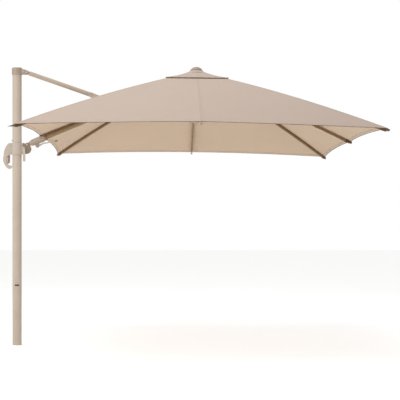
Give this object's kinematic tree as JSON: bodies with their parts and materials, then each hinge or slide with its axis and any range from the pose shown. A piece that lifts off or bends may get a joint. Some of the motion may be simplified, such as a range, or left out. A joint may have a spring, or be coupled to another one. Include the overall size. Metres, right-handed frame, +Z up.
{
  "type": "cantilever parasol",
  "caption": "Cantilever parasol: a square vented canopy on folding ribs, hung from a boom and strut on an upright oval mast with a sliding locking carriage.",
  "frame": {"origin": "middle of the mast's cut lower end, at the mouth of the socket for a base", "axes": "+Z up along the mast, +X from the mast towards the canopy, Y across"},
  "size_m": [3.3548, 3.0144, 2.6825],
  "materials": {
    "frame_paint": "satin",
    "rib_paint": "satin",
    "fitting_plastic": "satin",
    "glide_plastic": "matte",
    "trigger_plastic": "matte",
    "dark_plastic": "matte",
    "steel": "satin",
    "canopy_cloth": "matte"
  },
  "bodies": {
    "mast": {"mast_tube": "frame_paint", "mast_foot": "fitting_plastic", "mast_head": "fitting_plastic", "strut_top_pin": "steel", "blank_badge": "dark_plastic", "mast_fasteners": "steel"},
    "strut": {"strut_tube": "frame_paint", "strut_knuckle": "frame_paint", "strut_yoke": "frame_paint", "strut_fork_bars": "frame_paint", "strut_fork_screws": "steel"},
    "boom_carrier": {"boom_sleeve": "fitting_plastic", "sleeve_end_ring": "fitting_plastic", "strut_collar": "fitting_plastic", "carrier_pins": "steel"},
    "tilt_lever": {"tilt_lever": "frame_paint", "tilt_lever_knob": "dark_plastic"},
    "slider": {"slider_front_shell": "fitting_plastic", "slider_rear_shell": "fitting_plastic", "slider_glides": "glide_plastic", "slider_bolts": "steel", "slider_bracket": "fitting_plastic", "slider_pins": "steel", "slider_grip": "fitting_plastic", "clamp_spindle": "steel"},
    "grip_trigger": {"grip_trigger": "trigger_plastic"},
    "clamp_lever": {"clamp_lever": "fitting_plastic"},
    "boom": {"boom_tube": "frame_paint", "boom_head": "fitting_plastic", "boom_rail": "rib_paint"},
    "crown": {"crown_hub": "fitting_plastic", "hub_pins": "steel", "crown_hinge_pin": "steel", "finial": "fitting_plastic", "canopy": "canopy_cloth", "vent_canopy": "canopy_cloth"},
    "runner": {"runner": "fitting_plastic", "runner_pins": "steel"},
    "rib_back_right": {"rib_back_right": "rib_paint", "rib_fittings_back_right": "fitting_plastic"},
    "stretcher_back_right": {"stretcher_back_right": "rib_paint"},
    "rib_back_left": {"rib_back_left": "rib_paint", "rib_fittings_back_left": "fitting_plastic"},
    "stretcher_back_left": {"stretcher_back_left": "rib_paint"},
    "rib_front_left": {"rib_front_left": "rib_paint", "rib_fittings_front_left": "fitting_plastic"},
    "stretcher_front_left": {"stretcher_front_left": "rib_paint"},
    "rib_front_right": {"rib_front_right": "rib_paint", "rib_fittings_front_right": "fitting_plastic"},
    "stretcher_front_right": {"stretcher_front_right": "rib_paint"},
    "rib_right": {"rib_right": "rib_paint", "rib_fittings_right": "fitting_plastic"},
    "stretcher_right": {"stretcher_right": "rib_paint"},
    "rib_back": {"rib_back": "rib_paint", "rib_fittings_back": "fitting_plastic"},
    "stretcher_back": {"stretcher_back": "rib_paint"},
    "rib_front": {"rib_front": "rib_paint", "rib_fittings_front": "fitting_plastic"},
    "stretcher_front": {"stretcher_front": "rib_paint"}
  },
  "joints": [
    {"name": "fold", "type": "hinge", "parent": "mast", "child": "strut", "pos_m": [0.098, 0, 2.62], "axis": [0, 1, 0], "range_deg": [0, 61], "deforming": ["canopy", "vent_canopy"]},
    {"name": "strut_to_boom", "type": "hinge", "parent": "strut", "child": "boom_carrier", "pos_m": [1.04, 0, 2.2725], "axis": [0, 1, 0], "range_deg": [-122, 0]},
    {"name": "boom_to_slider", "type": "hinge", "parent": "boom_carrier", "child": "slider", "pos_m": [0.098, 0, 1.925], "axis": [0, 1, 0], "range_deg": [0, 61]},
    {"name": "boom_roll", "type": "hinge", "parent": "boom_carrier", "child": "boom", "pos_m": [0.098, 0, 1.925], "axis": [0.9253, 0, 0.3794], "range_deg": [-15, 15]},
    {"name": "boom_to_crown", "type": "hinge", "parent": "boom", "child": "crown", "pos_m": [1.679, 0, 2.57321], "axis": [0, 1, 0], "range_deg": [0, 61]},
    {"name": "rib_back_right_hinge", "type": "hinge", "parent": "crown", "child": "rib_back_right", "pos_m": [1.77036, 0.04596, 2.60498], "axis": [-0.7071, 0.7071, 0.0086], "range_deg": [0, 61]},
    {"name": "stretcher_back_right_hinge", "type": "hinge", "parent": "rib_back_right", "child": "stretcher_back_right", "pos_m": [2.13625, 0.41432, 2.40052], "axis": [-0.7071, 0.7071, 0.0086], "range_deg": [-122, 0]},
    {"name": "rib_back_left_hinge", "type": "hinge", "parent": "crown", "child": "rib_back_left", "pos_m": [1.67844, 0.04596, 2.6061], "axis": [-0.7071, -0.7071, 0.0086], "range_deg": [0, 61]},
    {"name": "stretcher_back_left_hinge", "type": "hinge", "parent": "rib_back_left", "child": "stretcher_back_left", "pos_m": [1.30767, 0.41432, 2.41065], "axis": [-0.7071, -0.7071, 0.0086], "range_deg": [-122, 0]},
    {"name": "rib_front_left_hinge", "type": "hinge", "parent": "crown", "child": "rib_front_left", "pos_m": [1.67844, -0.04596, 2.6061], "axis": [0.7071, -0.7071, -0.0086], "range_deg": [0, 61]},
    {"name": "stretcher_front_left_hinge", "type": "hinge", "parent": "rib_front_left", "child": "stretcher_front_left", "pos_m": [1.30767, -0.41432, 2.41065], "axis": [0.7071, -0.7071, -0.0086], "range_deg": [-122, 0]},
    {"name": "rib_front_right_hinge", "type": "hinge", "parent": "crown", "child": "rib_front_right", "pos_m": [1.77036, -0.04596, 2.60498], "axis": [0.7071, 0.7071, -0.0086], "range_deg": [0, 61]},
    {"name": "stretcher_front_right_hinge", "type": "hinge", "parent": "rib_front_right", "child": "stretcher_front_right", "pos_m": [2.13625, -0.41432, 2.40052], "axis": [0.7071, 0.7071, -0.0086], "range_deg": [-122, 0]},
    {"name": "rib_right_hinge", "type": "hinge", "parent": "crown", "child": "rib_right", "pos_m": [1.7889, 0, 2.564], "axis": [0, 1, 0], "range_deg": [0, 61]},
    {"name": "stretcher_right_hinge", "type": "hinge", "parent": "rib_right", "child": "stretcher_right", "pos_m": [2.30735, 0, 2.35769], "axis": [0, 1, 0], "range_deg": [-122, 0]},
    {"name": "rib_back_hinge", "type": "hinge", "parent": "crown", "child": "rib_back", "pos_m": [1.7239, 0.065, 2.5648], "axis": [-0.9999, 0, 0.0122], "range_deg": [0, 61]},
    {"name": "stretcher_back_hinge", "type": "hinge", "parent": "rib_back", "child": "stretcher_back", "pos_m": [1.72146, 0.58594, 2.36484], "axis": [-0.9999, 0, 0.0122], "range_deg": [-122, 0]},
    {"name": "rib_front_hinge", "type": "hinge", "parent": "crown", "child": "rib_front", "pos_m": [1.7239, -0.065, 2.5648], "axis": [0.9999, 0, -0.0122], "range_deg": [0, 61]},
    {"name": "stretcher_front_hinge", "type": "hinge", "parent": "rib_front", "child": "stretcher_front", "pos_m": [1.72146, -0.58594, 2.36484], "axis": [0.9999, 0, -0.0122], "range_deg": [-122, 0]},
    {"name": "runner_hinge", "type": "hinge", "parent": "stretcher_front", "child": "runner", "pos_m": [1.71901, -0.065, 2.16489], "axis": [0.9999, 0, -0.0122], "range_deg": [0, 61]},
    {"name": "tilt_lever_hinge", "type": "hinge", "parent": "boom_carrier", "child": "tilt_lever", "pos_m": [0.194, 0, 1.909], "axis": [0, 1, 0], "range_deg": [0, 20], "stiffness_Nm_per_rad": 1.5, "springref_deg": -17.19},
    {"name": "trigger_hinge", "type": "hinge", "parent": "slider", "child": "grip_trigger", "pos_m": [-0.089, 0, 1.842], "axis": [0, 1, 0], "range_deg": [0, 8], "stiffness_Nm_per_rad": 0.4},
    {"name": "clamp_hinge", "type": "hinge", "parent": "slider", "child": "clamp_lever", "pos_m": [0.07, 0, 1.893], "axis": [0, 1, 0], "range_deg": [-90, 0]}
  ],
  "couplings": [
    {"joint": "strut_to_boom", "follows": "fold", "ratio": -2},
    {"joint": "boom_to_slider", "follows": "fold", "ratio": 1},
    {"joint": "boom_to_crown", "follows": "fold", "ratio": 1},
    {"joint": "rib_back_right_hinge", "follows": "fold", "ratio": 1},
    {"joint": "stretcher_back_right_hinge", "follows": "fold", "ratio": -2},
    {"joint": "rib_back_left_hinge", "follows": "fold", "ratio": 1},
    {"joint": "stretcher_back_left_hinge", "follows": "fold", "ratio": -2},
    {"joint": "rib_front_left_hinge", "follows": "fold", "ratio": 1},
    {"joint": "stretcher_front_left_hinge", "follows": "fold", "ratio": -2},
    {"joint": "rib_front_right_hinge", "follows": "fold", "ratio": 1},
    {"joint": "stretcher_front_right_hinge", "follows": "fold", "ratio": -2},
    {"joint": "rib_right_hinge", "follows": "fold", "ratio": 1},
    {"joint": "stretcher_right_hinge", "follows": "fold", "ratio": -2},
    {"joint": "rib_back_hinge", "follows": "fold", "ratio": 1},
    {"joint": "stretcher_back_hinge", "follows": "fold", "ratio": -2},
    {"joint": "rib_front_hinge", "follows": "fold", "ratio": 1},
    {"joint": "stretcher_front_hinge", "follows": "fold", "ratio": -2},
    {"joint": "runner_hinge", "follows": "fold", "ratio": 1}
  ]
}
